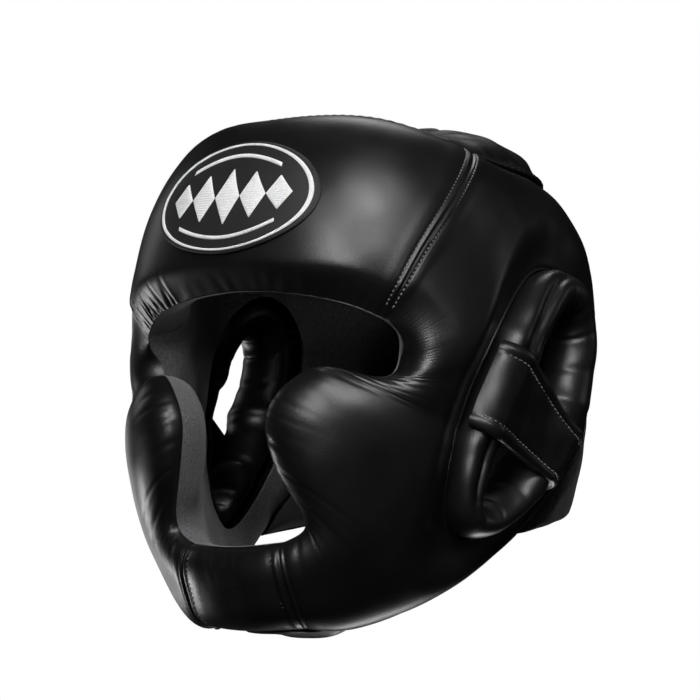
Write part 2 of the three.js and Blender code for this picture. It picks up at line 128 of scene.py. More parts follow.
def add_floor():
    ring = [(FLOOR.radius * math.cos(t), FLOOR.radius * math.sin(t), FLOOR.z) for t in full_turn(FLOOR.sides)]
    mesh = new_mesh(ring, [range(FLOOR.sides)], weld=False)
    floor = add_object("floor", mesh)
    material, tree, body = shader("studio_floor")
    grain = add_node(tree, "TexNoise", "Fac", {"Scale": 3})
    color = toned(tree, grain, (0.3, [FLOOR.dark_tone] * 3), (0.7, [FLOOR.tone] * 3))
    fill_inputs(tree, body, {"Base Color": color, "Roughness": FLOOR.roughness})
    fill_inputs(tree, body, {"Emission Color": WHITE, "Emission Strength": FLOOR.glow})
    mesh.materials.append(material)
    floor.visible_diffuse = floor.visible_glossy = floor.visible_shadow = False


# Driving sizes, the same as the solids'

LINING = Sizes(thickness=1.4, gap=0.4, roll=16)
PAD_BASE = LINING.thickness + 2 * LINING.gap
EDGE = Sizes(face_lip=0.6, outer_lip=0.4, roll=0.52, most=0.47)
ROUNDNESS = 2.4

# height, half width, front, rear
HOLLOW = [
    (-192, 54, 86.5, 66),
    (-160, 64, 96, 76),
    (-130, 73, 102, 84),
    (-95, 80, 104, 91),
    (-60, 84, 103, 96),
    (-25, 85, 102, 96),
    (5, 82, 101, 91),
    (30, 76, 95, 84.5),
    (50, 66, 83, 77),
    (64, 54, 70, 68),
    (76, 38, 51, 52),
]
# angle, height
RIM = [
    (0, 61.5), (25, 61.3), (45, 59.3), (62, 53.5), (76, 48.2), (90, 45.5), (110, 43.5), (127, 42), (180, 38)
]

EAR = Sizes(y=-9, z=-72.5, half_width=35.5, half_height=71.5, lean=math.radians(29.5), taper=0.21)
EAR_VALLEY = Sizes(reach=1.45, depth=0.4)
EYE_CORNER = Sizes(along=0.26, width=0.13, depth=0.26)
EAR_ROLL = Sizes(half_depth=16, middle=18, gap=-0.6)  # pressed into the opening
ROLL_WIDTH = Sizes(mean=10.6, front=0.85, top=1.25, sides=0.8)  # half width, and where it is more
EAR_STRAP = Sizes(half_width=16, thickness=2.2, middle=-7.5, skew=4.5, gap=0.6, wrap=58, flare=12, sag=3.5)
CROWN = Sizes(rise=27, lag=2.1, thickness=2.5, half_gap=6, first_angle=8, seam_gap=1.5, offset=9.5)
LACE = Sizes(radius=1.6, bars=5, first=0.16, last=0.88, gap=0.3)
EYELET = Sizes(x=13, radius=2.9)
BADGE = Sizes(height=20.5, half_angle=28.3, half_height=23.4, thickness=1.4, gap=0.6)
CHIN_STRAP = Sizes(half_span=39, top=-146, drop=47, bend=0.7, y=-67, width=22, thickness=3)
CHIN_FLARE = Sizes(more=14, tilt=3, first=0.86)  # wider and tilted up in front, below the chin guard

RIB = "face_angle face_height outer_angle outer_height face_thick outer_thick bow_angle bow_height"
Rib = namedtuple("Rib", RIB, defaults=(0, 0))
TEMPLE_SEAM = Rib(42.3, -36.2, 75, 48.5, 33, 15, -5)
CHIN_SEAM = Rib(18.5, -141.5, 23, -183, 28, 22)
FOREHEAD_HALF = [
    Rib(0, -20, 0, 60, 26, 19.5),
    Rib(17, -22, 25, 60, 27, 20),
    Rib(32, -27.8, 51, 58, 31, 19, -2),
]
SIDE_MIDDLE = [
    Rib(44.7, -40.4, 90, 45, 35, 14, -4),
    Rib(46.3, -45, 110, 42.8, 36, 13, -2),
    Rib(47, -50.5, 140, 39.5, 36.5, 13),
    Rib(46.6, -57, 171, 34.5, 36.5, 14),
    Rib(44.6, -62.2, 174, -9, 35.5, 14.5),
    Rib(40.4, -63.8, 143, -40, 34, 17.5, 0, -10),
    Rib(34.3, -61.3, 132, -71, 32.5, 20, 0, -22),
    Rib(26.8, -60, 121, -97, 32.5, 21, 0, -16),
    Rib(19.5, -70, 106, -119, 36.5, 22, 0, -9),
    Rib(15.7, -84, 92, -136, 37.5, 23.5, 0, -5),
    Rib(16.7, -100, 75, -156, 36.5, 24),
    Rib(21, -117, 57.5, -173.5, 33.5, 22),
    Rib(25.5, -133, 38, -184, 30, 19.5),
]
CHIN_HALF = [Rib(0, -143.5, 0, -184.5, 28.5, 24.5), Rib(9, -143, 11, -184, 28.5, 24.5)]
REAR_RIBS = [
    Rib(175, -13, 185, -13, 18, 18),
    Rib(144, -41.5, 216, -41.5, 20, 20, 0, 8),
    Rib(133, -72, 227, -72, 20, 20, 0, 8),
    Rib(122.5, -98, 237.5, -98, 20, 20, 0, 10),
    Rib(108, -120.5, 252, -120.5, 19, 19, 0, 12),
    Rib(95.5, -137, 264.5, -137, 18, 18, 0, 14),
]
REAR_TUCK = 3  # how far the band's edges go under the side pads

# The leather's own sizes

# the leather closes the solids' seam gap, and a row of stitches lies on each side of the seam
SEAM = Sizes(gap_angle=0.02, width=5, row=2.9)
# height, distance from the seam and half width of the welt, its crease, the stitches' groove and the swell
SEAM_PROFILE = [(0.45, 1.5, 0.9), (-0.8, 0, 0.8), (-0.45, SEAM.row, 0.8), (0.25, 7.5, 3.0)]
SHOULDER = 1.4  # how much longer the leather's rolled edge is than the solid's
BROW = Sizes(length=0.9, bend=0.24, fade=80)  # the flat underside of the brow, in rolls, and its bend
RIDGE = Sizes(low=1.8, high=4.8, bottom=-20, top=30, reach=22)  # the temple seams stand out, most at the top
EAR_RIM = Sizes(reach=0.07, depth=3.5)  # the pad's skin rolls into the ear opening
ROLL_CREASE = Sizes(depth=3.2, half_width=0.26)

# Shape functions, on whole arrays of places


def smooth(keys, rows):
    """A smooth function through rows of values, straight at both ends and held beyond them."""
    keys, rows = np.asarray(keys, float), np.asarray(rows, float)
    gap = np.diff(keys)
    last = len(keys) - 1
    system, pull = np.eye(last + 1), np.zeros_like(rows)
    for i in range(1, last):
        system[i, i - 1 : i + 2] = gap[i - 1], 2 * (gap[i - 1] + gap[i]), gap[i]
        pull[i] = 6 * ((rows[i + 1] - rows[i]) / gap[i] - (rows[i] - rows[i - 1]) / gap[i - 1])
    bend = np.linalg.solve(system, pull)

    def at(where):
        where = np.clip(where, keys[0], keys[-1])
        i = np.clip(np.searchsorted(keys, where, side="right") - 1, 0, last - 1)
        late = ((where - keys[i]) / gap[i])[..., None]
        early = 1 - late
        curve = (early**3 - early) * bend[i] + (late**3 - late) * bend[i + 1]
        return early * rows[i] + late * rows[i + 1] + curve * (gap[i] ** 2 / 6)[..., None]

    return at


def bulge(t):
    return 4 * t * (1 - t)


def rounding(x):
    return np.sqrt(1 - (1 - np.clip(x, 0, 1)) ** 2)


def pillow(x):
    """A stuffed edge: upright where it is sewn, with a long soft shoulder."""
    return np.sqrt(1 - (1 - np.clip(x / SHOULDER, 0, 1)) ** 3)


def bevel(x):
    """A stuffed edge with a flat underside and one bend."""
    x = x / BROW.length
    return np.clip((x + 1 - np.sqrt((x - 1) ** 2 + BROW.bend**2)) / 2, 0, 1)


def smoothstep(x, low, high):
    t = np.clip((x - low) / (high - low), 0, 1)
    return t * t * (3 - 2 * t)


def bump(x, middle, half_width):
    return np.exp(-(((x - middle) / half_width) ** 2))


def pinch(x):
    """A crease with a low swell on both sides of it."""
    return -(1 - 2 * x * x) * np.exp(-x * x)


def mix(a, b, t):
    return a + (b - a) * t


def unit(vectors):
    return vectors / np.linalg.norm(vectors, axis=-1, keepdims=True)


def full_turn(count):
    return np.linspace(0, 2 * np.pi, count, endpoint=False)


def step_lengths(points, axis=0):
    return np.linalg.norm(np.diff(points, axis=axis), axis=-1)


def halving(low, high, shape, holds):
    """For each place, the value between two ends up to which a test holds."""
    low, high = np.full(shape, float(low)), np.full(shape, float(high))
    for _ in range(30):
        middle = (low + high) / 2
        good = holds(middle)
        low = np.where(good, middle, low)
        high = np.where(good, high, middle)
    return low


def waves(seed, length, count=20):
    """A smooth random field of points, about -1 to 1, with waves of about the given length."""
    rng = np.random.default_rng(SEED + seed)
    ways = unit(rng.normal(size=(count, 3))) * (2 * np.pi / length) * rng.uniform(0.6, 1.5, (count, 1))
    phases = rng.uniform(0, 2 * np.pi, count)

    def at(points):
        total = np.zeros(points.shape[:-1])
        for way, phase in zip(ways, phases):
            total += np.sin(points @ way + phase)
        return total / math.sqrt(count)

    return at


hollow_at = smooth([row[0] for row in HOLLOW], [row[1:] for row in HOLLOW])
rim_at = smooth([row[0] for row in RIM], [row[1:] for row in RIM])


def rim_height(angle):
    return rim_at(abs(np.asarray(angle, float)))[..., 0]


def on_hollow(angle, height):
    """A point of the hollow's surface. The angle is 0 at the nose and 90 at the wearer's left ear."""
    angle, height = np.broadcast_arrays(np.radians(angle), np.asarray(height, float))
    half_width, front, rear = np.moveaxis(hollow_at(height), -1, 0)
    across, ahead = np.sin(angle), np.cos(angle)
    square = (abs(across) ** ROUNDNESS + abs(ahead) ** ROUNDNESS) ** (-1 / ROUNDNESS)
    reach = np.where(ahead > 0, front, rear)
    return np.stack([half_width * across * square, -reach * ahead * square, height], axis=-1)


def outward(angle, height):
    step = 0.5
    around = on_hollow(angle + step, height) - on_hollow(angle - step, height)
    rise = on_hollow(angle, height + step) - on_hollow(angle, height - step)
    return unit(np.cross(around, rise))


def pad_point(angle, height, offset):
    return on_hollow(angle, height) + outward(angle, height) * np.asarray(offset)[..., None]


def side_point(y, z, offset):
    """A point over a place of the left side view, a given way off the hollow."""
    y, z = np.broadcast_arrays(y, z)
    angle = halving(0, 180, y.shape, lambda trial: on_hollow(trial, z)[..., 1] < y)
    return pad_point(angle, z, offset)


def ear_share(points):
    """How far a place lies out from the ear opening's middle: 1 on its edge."""
    y, z = points[..., 1] - EAR.y, points[..., 2] - EAR.z
    across = y * math.cos(EAR.lean) - z * math.sin(EAR.lean)
    upright = (y * math.sin(EAR.lean) + z * math.cos(EAR.lean)) / EAR.half_height
    width = 1 + EAR.taper * np.clip(upright, -1, 1)
    return np.hypot(across / (EAR.half_width * width), upright)


# Panels


def shifted(rib, face, outer):
    return rib._replace(face_angle=rib.face_angle + face, outer_angle=rib.outer_angle + outer)


def with_mirror(half):
    """Half a panel's ribs with the other half before them."""
    other = [
        rib._replace(face_angle=-rib.face_angle, outer_angle=-rib.outer_angle, bow_angle=-rib.bow_angle)
        for rib in half[:0:-1]
    ]
    return other + half


def to_rim(rib):
    return rib._replace(outer_height=float(rim_height(rib.outer_angle)))


def sewn(rib, way):
    """A seam's rib on one side of the seam's gap."""
    return shifted(rib, way * SEAM.gap_angle, way * SEAM.gap_angle)


def tree_of(points):
    tree = KDTree(len(points))
    for k, point in enumerate(points):
        tree.insert(point, k)
    tree.balance()
    return tree


class Border:
    """Lines on the hollow's surface, and how far places lie from the nearest of them."""

    def __init__(self, lines):
        self.points = np.concatenate(lines)
        ends = np.cumsum([len(line) for line in lines])
        spots = np.arange(len(self.points))
        self.after = np.where(np.isin(spots + 1, ends), spots, spots + 1)
        self.before = np.where(np.isin(spots, np.append(0, ends)), spots, spots - 1)
        self.tree = tree_of(self.points)

    def distance(self, places):
        flat = places.reshape(-1, 3)
        near = np.array([self.tree.find(place)[1] for place in flat])
        away = flat - self.points[near]
        gaps = []
        for other in (self.before[near], self.after[near]):
            way = self.points[other] - self.points[near]
            share = (away * way).sum(-1) / np.maximum((way * way).sum(-1), 1e-9)
            gaps.append(np.linalg.norm(away - way * np.clip(share, 0, 1)[:, None], axis=-1))
        return np.minimum(*gaps).reshape(places.shape[:-1])


Place = namedtuple("Place", "angle height thick down in_face in_outer lip swell settle")
EDGE_STEPS = 9  # rows of faces on a rounded edge


class Panel:
    """A padded panel. Down runs along it from rib to rib, far runs across it from the face edge."""

    def __init__(self, ribs, mesh, dents, ripples, round_ends=False, valley=False, brow=(0, 0)):
        self.rib_at = smooth(np.linspace(0, 1, len(ribs)), ribs)
        self.mesh, self.dents, self.ripples = mesh, dents, ripples
        self.round_ends, self.valley, self.brow = round_ends, valley, brow
        self.borders, self.folds = None, ()
        angle, height, _ = self.across(self.rib_at(np.linspace(0, 1, 97)), 0.5)
        self.spine = float(step_lengths(on_hollow(angle, height)).sum())
        self.end_roll = EDGE.roll * ribs[0].face_thick if round_ends else SEAM.width

    @staticmethod
    def across(ribs, t):
        rib = Rib(*np.moveaxis(ribs, -1, 0))
        angle = mix(rib.face_angle, rib.outer_angle, t) + rib.bow_angle * bulge(t)
        height = mix(rib.face_height, rib.outer_height, t) + rib.bow_height * bulge(t)
        return angle, height, mix(rib.face_thick, rib.outer_thick, t)

    def border(self, t, step=1.0):
        """The line along the panel's face edge, t = 0, or its outer edge, t = 1."""
        angle, height, _ = self.across(self.rib_at(np.linspace(0, 1, int(2 * self.spine / step))), t)
        return on_hollow(angle, height)

    def ribs(self, down):
        return self.rib_at(np.asarray(down) / self.spine)

    def lengths(self, down):
        """The lengths of the ribs at distances down the panel."""
        angle, height, _ = self.across(self.ribs(down)[..., None, :], np.linspace(0, 1, 17))
        return step_lengths(on_hollow(angle, height), axis=-2).sum(axis=-1)

    def rolls(self, down):
        rib = Rib(*np.moveaxis(self.ribs(down), -1, 0))
        thickest = np.maximum(rib.face_thick, rib.outer_thick)
        return np.minimum(EDGE.roll * thickest, EDGE.most * self.lengths(down))

    def place(self, down, far):
        down, far = np.broadcast_arrays(np.asarray(down, float), np.asarray(far, float))
        length, roll = self.lengths(down), self.rolls(down)
        t = far / length
        angle, height, thick = self.across(self.ribs(down), t)
        in_face, in_outer = far, length - far
        spots = on_hollow(angle, height)
        if self.borders:
            in_face = np.minimum(in_face, self.borders[0].distance(spots))
            in_outer = np.minimum(in_outer, self.borders[1].distance(spots))
        end = rounding(down / self.end_roll) * rounding((self.spine - down) / self.end_roll)
        if self.valley:
            near = 1 - smoothstep(ear_share(spots), 1, EAR_VALLEY.reach)
            thick = thick * (1 - EAR_VALLEY.depth * near)
        lip = (mix(EDGE.face_lip, EDGE.outer_lip, t) - self.sunk(down, t)) * thick
        closing = end if self.round_ends else 1
        face = mix(pillow(in_face / roll), bevel(in_face / roll), self.browness(down))
        swell = closing * face * pillow(in_outer / roll)
        settle = closing * rounding(in_face / LINING.roll) * rounding(in_outer / LINING.roll)
        return Place(angle, height, thick, down, in_face, in_outer, lip, swell, settle)

    def browness(self, down):
        """How far a place has the brow's flat underside: all of the forehead, and the start of each side."""
        if self.brow == (1, 1):
            return 1.0
        return self.brow[0] * (1 - smoothstep(down, 0, BROW.fade))

    def ridge(self, place):
        start = self.brow[0] * np.exp(-place.down / RIDGE.reach)
        end = self.brow[1] * np.exp((place.down - self.spine) / RIDGE.reach)
        return mix(RIDGE.low, RIDGE.high, smoothstep(place.height, RIDGE.bottom, RIDGE.top)) * (start + end)

    def sunk(self, down, t):
        """How much deeper the face edge is sewn at the eye corner."""
        if not self.valley:
            return 0
        return EYE_CORNER.depth * bump(down / self.spine, EYE_CORNER.along, EYE_CORNER.width) * (1 - t)

    def seam_relief(self, down):
        """A raised welt at each sewn end, with a crease in its middle and grooves under its stitches."""
        inside = np.minimum(down, self.spine - down)
        return sum(height * bump(inside, middle, width) for height, middle, width in SEAM_PROFILE)

    def outer(self, place):
        offset = PAD_BASE + place.lip + (place.thick - place.lip) * place.swell
        if not self.round_ends:
            offset = offset + (self.seam_relief(place.down) + self.ridge(place)) * place.swell
        return pad_point(place.angle, place.height, offset)

    def back(self, place, behind=0.0):
        return pad_point(place.angle, place.height, PAD_BASE + place.lip * (1 - place.settle) - behind)

    def skin(self, down, far):
        """Points of the outer face, and the directions out of it."""
        step = 0.4

        def at(more_down, more_far):
            return self.outer(self.place(down + more_down, far + more_far))

        along, cross = at(step, 0) - at(-step, 0), at(0, step) - at(0, -step)
        return at(0, 0), unit(np.cross(along, cross))

    def grid(self, rows, columns):
        """Distances for a grid: close together on the rounded edges, even between them."""
        down = edged(self.spine, self.end_roll, rows)
        far = np.stack([edged(self.lengths(d), self.rolls(d), columns) for d in down])
        return down[:, None], far


def edged(length, roll, between):
    edge = roll * (1 - np.cos(np.linspace(0, np.pi / 2, EDGE_STEPS + 1)))
    middle = roll + (length - 2 * roll) * np.arange(1, between + 1) / (between + 1)
    return np.concatenate([edge, middle, (length - edge)[::-1]])


# Meshes and pieces


def grid_faces(rows, columns, round_rows=False, round_columns=False):
    """Four-sided faces of a grid of points, in rows."""
    i = np.arange(rows if round_rows else rows - 1)[:, None]
    j = np.arange(columns if round_columns else columns - 1)[None, :]
    below, beside = (i + 1) % rows, (j + 1) % columns
    corners = [i * columns + j, below * columns + j, below * columns + beside, i * columns + beside]
    return np.stack(np.broadcast_arrays(*corners), axis=-1).reshape(-1, 4)


def wall(outer, inner, round_columns=False):
    """A closed wall between two matching grids."""
    rows, columns = outer.shape[:2]
    count = rows * columns
    faces = grid_faces(rows, columns, round_columns=round_columns)
    both = [faces, faces[:, ::-1] + count]
    grid = np.arange(count).reshape(rows, columns)
    borders = [grid[0, ::-1], grid[-1, :]]
    if round_columns:
        borders = [np.append(border, border[0]) for border in borders]
    else:
        borders += [grid[:, 0], grid[::-1, -1]]
    for border in borders:
        both.append(np.stack([border[1:], border[:-1], border[:-1] + count, border[1:] + count], axis=-1))
    return np.concatenate([outer.reshape(-1, 3), inner.reshape(-1, 3)]), np.concatenate(both)


def joined(parts):
    """Several lists of points and faces as one."""
    points, faces, first = [], [], 0
    for part_points, part_faces in parts:
        points.append(part_points)
        faces.extend([k + first for k in face] for face in part_faces)
        first += len(part_points)
    return np.concatenate(points), faces


def new_mesh(points, faces, weld=True):
    mesh = bpy.data.meshes.new("shape")
    mesh.from_pydata((np.asarray(points) * MM).tolist(), [], [[int(k) for k in face] for face in faces])
    if weld:
        work = bmesh.new()
        work.from_mesh(mesh)
        bmesh.ops.remove_doubles(work, verts=work.verts, dist=1e-6)
        bmesh.ops.dissolve_degenerate(work, edges=work.edges, dist=1e-6)
        bmesh.ops.delete(work, geom=[edge for edge in work.edges if not edge.link_faces], context="EDGES")
        bmesh.ops.recalc_face_normals(work, faces=work.faces)
        work.to_mesh(mesh)
        work.free()
    return mesh


def mirror_mesh(mesh):
    """The same mesh for the wearer's right side."""
    other = mesh.copy()
    other.transform(Matrix.Scale(-1, 4, (1, 0, 0)))
    other.flip_normals()
    return other


def add_piece(name, mesh, look, node=None, sharp=50):
    """A piece of the part, on its one body."""
    mesh.name = name
    mesh.materials.clear()
    mesh.materials.append(look.material)
    mesh.shade_smooth()
    mesh.set_sharp_from_angle(angle=math.radians(sharp))
    piece = add_object(name, mesh)
    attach(piece, "root")
    if node:
        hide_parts(node)
    return piece


def add_pair(name, mesh, look, node=None, sharp=50):
    """A piece on the wearer's left, and its mirror image."""
    shapes = {"_left": mesh, "_right": mirror_mesh(mesh)}
    return [add_piece(name + way, shape, look, node and node + way, sharp) for way, shape in shapes.items()]


def cut_mesh(mesh, cutter_mesh):
    """The mesh with a cutter taken out of it."""
    body, cutter = add_object("cut_body", mesh), add_object("cutter", cutter_mesh)
    step = body.modifiers.new("cut", "BOOLEAN")
    step.object = cutter
    step.solver = "MANIFOLD"
    graph = bpy.context.evaluated_depsgraph_get()
    result = bpy.data.meshes.new_from_object(body.evaluated_get(graph))
    for thing in (body, cutter):
        bpy.data.objects.remove(thing)
    return result


def slopes(points, axis, closed):
    if closed:
        return np.roll(points, -1, axis) - np.roll(points, 1, axis)
    return np.gradient(points, axis=axis)


def raised(points, relief, closed=False):
    """A grid of points moved out of its own surface. A closed one goes round both ways."""
    normals = np.cross(slopes(points, 0, closed), slopes(points, 1, closed))
    size = np.linalg.norm(normals, axis=-1, keepdims=True)
    return points + normals / np.maximum(size, 1e-9) * relief[..., None]


def rings(middle, aside, lift, radius, sides):
    """Rings of points round the points of a line."""
    turns = full_turn(sides)[:, None]
    ring = np.cos(turns) * aside[..., None, :] + np.sin(turns) * lift[..., None, :]
    return middle[..., None, :] + ring * np.asarray(radius)[..., None, None]


def capped(rows, sides):
    """The faces of a rod of rings with closed ends."""
    ends = [list(range(sides)), list(range((rows - 1) * sides, rows * sides))[::-1]]
    return grid_faces(rows, sides, round_columns=True).tolist() + ends


def tube(path, radius, sides=10, closed=False, up=(0, 0, 1)):
    """A round rod along a path."""
    along = unit(slopes(path, 0, closed))
    aside = unit(np.cross(np.broadcast_to(np.asarray(up, float), path.shape), along))
    points = rings(path, aside, np.cross(along, aside), radius, sides)
    faces = grid_faces(len(path), sides, True, True) if closed else capped(len(path), sides)
    return points.reshape(-1, 3), faces


def between_rows(at, keys, rows):
    return np.stack([np.interp(at, keys, column) for column in rows.T], axis=-1)


def resampled(path, pitch):
    """Points at an even pitch along a path, with the share of the path at each."""
    run = np.append(0, np.cumsum(step_lengths(path)))
    count = max(int(round(run[-1] / pitch)), 2)
    share = (np.arange(count) + 0.5) / count
    return between_rows(share * run[-1], run, path), share


# Stitches

STITCH = Sizes(pitch=2.5, length=1.7, radius=0.5)
STRAP_STITCH = Sizes(pitch=3.0, length=2.2, radius=0.36)
STITCH_SIDES = 6
# along a stitch, in its lengths, and the lift and girth there, in its radii
HALF_STITCH = [(0.12, 0.5, 1), (0.36, 0.15, 0.9), (0.5, -0.8, 0.55)]
STATIONS = np.array([(-step, lift, girth) for step, lift, girth in HALF_STITCH[::-1]] + HALF_STITCH)


def stitches(path, normals, size):
    """A row of single stitches along a path: short arched threads with their ends sunk in."""
    spots, share = resampled(path, size.pitch)
    ups = unit(between_rows(share, np.linspace(0, 1, len(path)), normals))[:, None]
    along = unit(np.gradient(spots, axis=0))[:, None]
    step, lift, girth = STATIONS.T * np.array([[size.length], [size.radius], [size.radius]])
    middle = spots[:, None] + along * step[:, None] + ups * lift[:, None]
    points = rings(middle, np.cross(ups, along), ups, girth, STITCH_SIDES)
    one, count = capped(len(STATIONS), STITCH_SIDES), len(STATIONS) * STITCH_SIDES
    faces = [[k + count * n for k in face] for n in range(len(spots)) for face in one]
    return points.reshape(-1, 3), faces


# Materials


def fill_inputs(tree, node, inputs):
    """Sets a node's inputs, and links those whose value is another node's output."""
    for key, value in inputs.items():
        if isinstance(value, bpy.types.NodeSocket):
            tree.links.new(value, node.inputs[key])
        else:
            node.inputs[key].default_value = value


def add_node(tree, kind, output, inputs=None, **settings):
    """The output of a new shader node."""
    node = tree.nodes.new("ShaderNode" + kind)
    for key, value in settings.items():
        setattr(node, key, value)
    fill_inputs(tree, node, inputs or {})
    return node.outputs[output]


def toned(tree, amount, *stops):
    """A colour between two tones."""
    color = add_node(tree, "ValToRGB", "Color", {"Fac": amount})
    for element, (position, tone) in zip(color.node.color_ramp.elements, stops):
        element.position = position
        element.color = (*tone, 1)
    return color


def shader(name):
    material = bpy.data.materials.new(name)
    material.use_nodes = True
    return material, material.node_tree, material.node_tree.nodes["Principled BSDF"]


def noise(tree, where, scale, detail, output="Fac"):
    return add_node(tree, "TexNoise", output, {"Vector": where, "Scale": scale, "Detail": detail})


def added(tree, value, other, share):
    """A value with a share of another added to it."""
    part = add_node(tree, "Math", "Value", {0: other, 1: share}, operation="MULTIPLY")
    return add_node(tree, "Math", "Value", {0: value, 1: part}, operation="ADD")


def spread(tree, value, low, high, to_low, to_high):
    limits = {"From Min": low, "From Max": high, "To Min": to_low, "To Max": to_high}
    return add_node(tree, "MapRange", "Result", {"Value": value, **limits})


def embossed(tree, height, strength, depth):
    return add_node(tree, "Bump", "Normal", {"Strength": strength, "Distance": depth * MM, "Height": height})


def leather(name, dark, light, gloss, grain, depth):
    """Grained leather: pebbles with creases between them, fine pores, and uneven polish."""
    material, tree, body = shader(name)
    where = add_node(tree, "TexCoord", "Object")
    bend = noise(tree, where, grain * 0.25, 2.0, "Color")
    warp = {"Fac": 0.6 / grain, "Color1": where, "Color2": bend}
    warped = add_node(tree, "MixRGB", "Color", warp, blend_type="ADD")
    cells = {"Vector": warped, "Scale": grain}
    pebble = add_node(tree, "TexVoronoi", "Distance", cells, feature="DISTANCE_TO_EDGE")
    pore = noise(tree, where, grain * 3.2, 3.0)
    patch = noise(tree, where, 28, 4.0)
    height = added(tree, spread(tree, pebble, 0.0, 0.28, 0.0, 1.0), pore, 0.5)
    fill_inputs(tree, body, {
        "Normal": embossed(tree, height, 0.7, depth),
        "Base Color": toned(tree, patch, (0.3, dark), (0.75, light)),
        "Roughness": added(tree, spread(tree, patch, 0.3, 0.7, *gloss), pore, 0.08),
        "Specular IOR Level": 0.5,
    })
    return material


def woven(name, dark, light, pitch, depth, rough=0.85, sheen=0.2):
    """Woven or brushed cloth: two crossed rows of yarn, with fuzz over them."""
    material, tree, body = shader(name)
    where = add_node(tree, "TexCoord", "Object")
    yarn = {"Vector": where, "Scale": 1 / pitch, "Distortion": 1.2}
    rows = {k: add_node(tree, "TexWave", "Fac", yarn, bands_direction=way) for k, way in enumerate("XZ")}
    weave = add_node(tree, "Math", "Value", rows, operation="MAXIMUM")
    fuzz = noise(tree, where, 900, 4.0)
    fill_inputs(tree, body, {
        "Normal": embossed(tree, added(tree, fuzz, weave, 0.7), 0.8, depth),
        "Base Color": toned(tree, fuzz, (0.35, dark), (0.7, light)),
        "Roughness": rough,
        "Sheen Weight": sheen,
        "Sheen Roughness": 0.5,
    })
    return material


def grey(tone, blue):
    return tone, tone, blue


Look = namedtuple("Look", "slot material")
GLOSS = (0.28, 0.36)
THREAD = woven("black_thread", grey(0.09, 0.091), grey(0.18, 0.182), 0.0006, 0.06, 0.5, 0.3)
PAD_LEATHER = leather("pad_leather", grey(0.0035, 0.0038), grey(0.006, 0.0065), GLOSS, 900, 0.03)
SOFT_LEATHER = leather("soft_leather", grey(0.004, 0.0043), grey(0.007, 0.0075), GLOSS, 1000, 0.03)
GREY_LINING = woven("grey_lining", grey(0.06, 0.063), grey(0.13, 0.136), 0.0011, 0.2)
WEBBING = woven("matt_webbing", grey(0.006, 0.006), grey(0.014, 0.015), 0.0016, 0.35, 0.95, 0.1)
LACE_CORD = woven("lace_cord", grey(0.010, 0.010), grey(0.025, 0.026), 0.0009, 0.2, 0.7, 0.3)
PATCH_CLOTH = woven("patch_cloth", grey(0.004, 0.004), grey(0.008, 0.008), 0.0010, 0.1, 0.55, 0.0)
PALE_THREAD = woven("pale_thread", grey(0.8, 0.8), grey(0.95, 0.95), 0.0006, 0.1, 0.6, 0.3)
PAD, PAD_THREAD = Look("pad_leather", PAD_LEATHER), Look("pad_leather", THREAD)
SOFT, SOFT_THREAD = Look("soft_leather", SOFT_LEATHER), Look("soft_leather", THREAD)
INSIDE, BAND = Look("grey_lining", GREY_LINING), Look("matt_webbing", WEBBING)
PATCH, EMBROIDERY = Look("badge_patch", PATCH_CLOTH), Look("badge_patch", PALE_THREAD)
CORD = Look("black_lace", LACE_CORD)

# Relief of the leather

DENTS = waves(1, 70)
RIPPLES = waves(2, 24)
Fold = namedtuple("Fold", "down slant half_width depth reach")
CALM = Sizes(angle=30, height=26)  # the leather is even under the badge
KEPT_EDGE = 3  # no relief nearer to a panel's edge


def folds(place, table):
    """Pinched folds that start on the face edge and fade across the panel."""
    relief = np.zeros(place.in_face.shape)
    for fold in table:
        x = (place.down - fold.down - fold.slant * place.in_face) / fold.half_width
        relief += fold.depth * pinch(x) * bump(place.in_face, 0, fold.reach)
    return relief


def gathers(seed, first, last, count, half_width, depth, reach):
    """Folds spread unevenly between two distances down a panel."""
    rng = np.random.default_rng(SEED + seed)
    spots = np.linspace(first, last, count) + rng.uniform(-0.4, 0.4, count) * (last - first) / count
    made = []
    for spot in spots:
        slant, wide = rng.uniform(-0.35, 0.35), half_width * rng.uniform(0.7, 1.4)
        deep, far = depth * rng.uniform(0.4, 1.3), reach * rng.uniform(0.6, 1.3)
        made.append(Fold(spot, slant, wide, deep, far))
    return made


def keep_edges(place):
    """No relief on the very edges of a panel, where its faces meet."""
    return rounding(place.in_face / KEPT_EDGE) * rounding(place.in_outer / KEPT_EDGE)


FOREHEAD_RIBS = [to_rim(rib) for rib in with_mirror([*FOREHEAD_HALF, sewn(TEMPLE_SEAM, -1)])]
SIDE_RIBS = [sewn(TEMPLE_SEAM, 1), *SIDE_MIDDLE, sewn(CHIN_SEAM, 1)]
CHIN_RIBS = with_mirror([*CHIN_HALF, sewn(CHIN_SEAM, -1)])[::-1]
TUCKED_RIBS = [shifted(rib, -REAR_TUCK, REAR_TUCK) for rib in REAR_RIBS]
# ribs, rows and columns of faces, height of the dents and of the ripples
forehead = Panel(FOREHEAD_RIBS, (260, 44), 0.2, 0.06, brow=(1, 1))
side = Panel(SIDE_RIBS, (330, 70), 0.45, 0.1, valley=True, brow=(1, 0))
chin = Panel(CHIN_RIBS, (110, 20), 0.4, 0.15)
rear = Panel(TUCKED_RIBS, (90, 150), 0.5, 0.25, round_ends=True)
OTHER_SIDE = np.array([-1, 1, 1])


def panels_edge(t):
    """The face edge of all sewn panels, t = 0, or their outer edge, t = 1."""
    flank = side.border(t)
    return Border([forehead.border(t), flank, flank * OTHER_SIDE, chin.border(t)])


forehead.borders = side.borders = chin.borders = [panels_edge(0), panels_edge(1)]

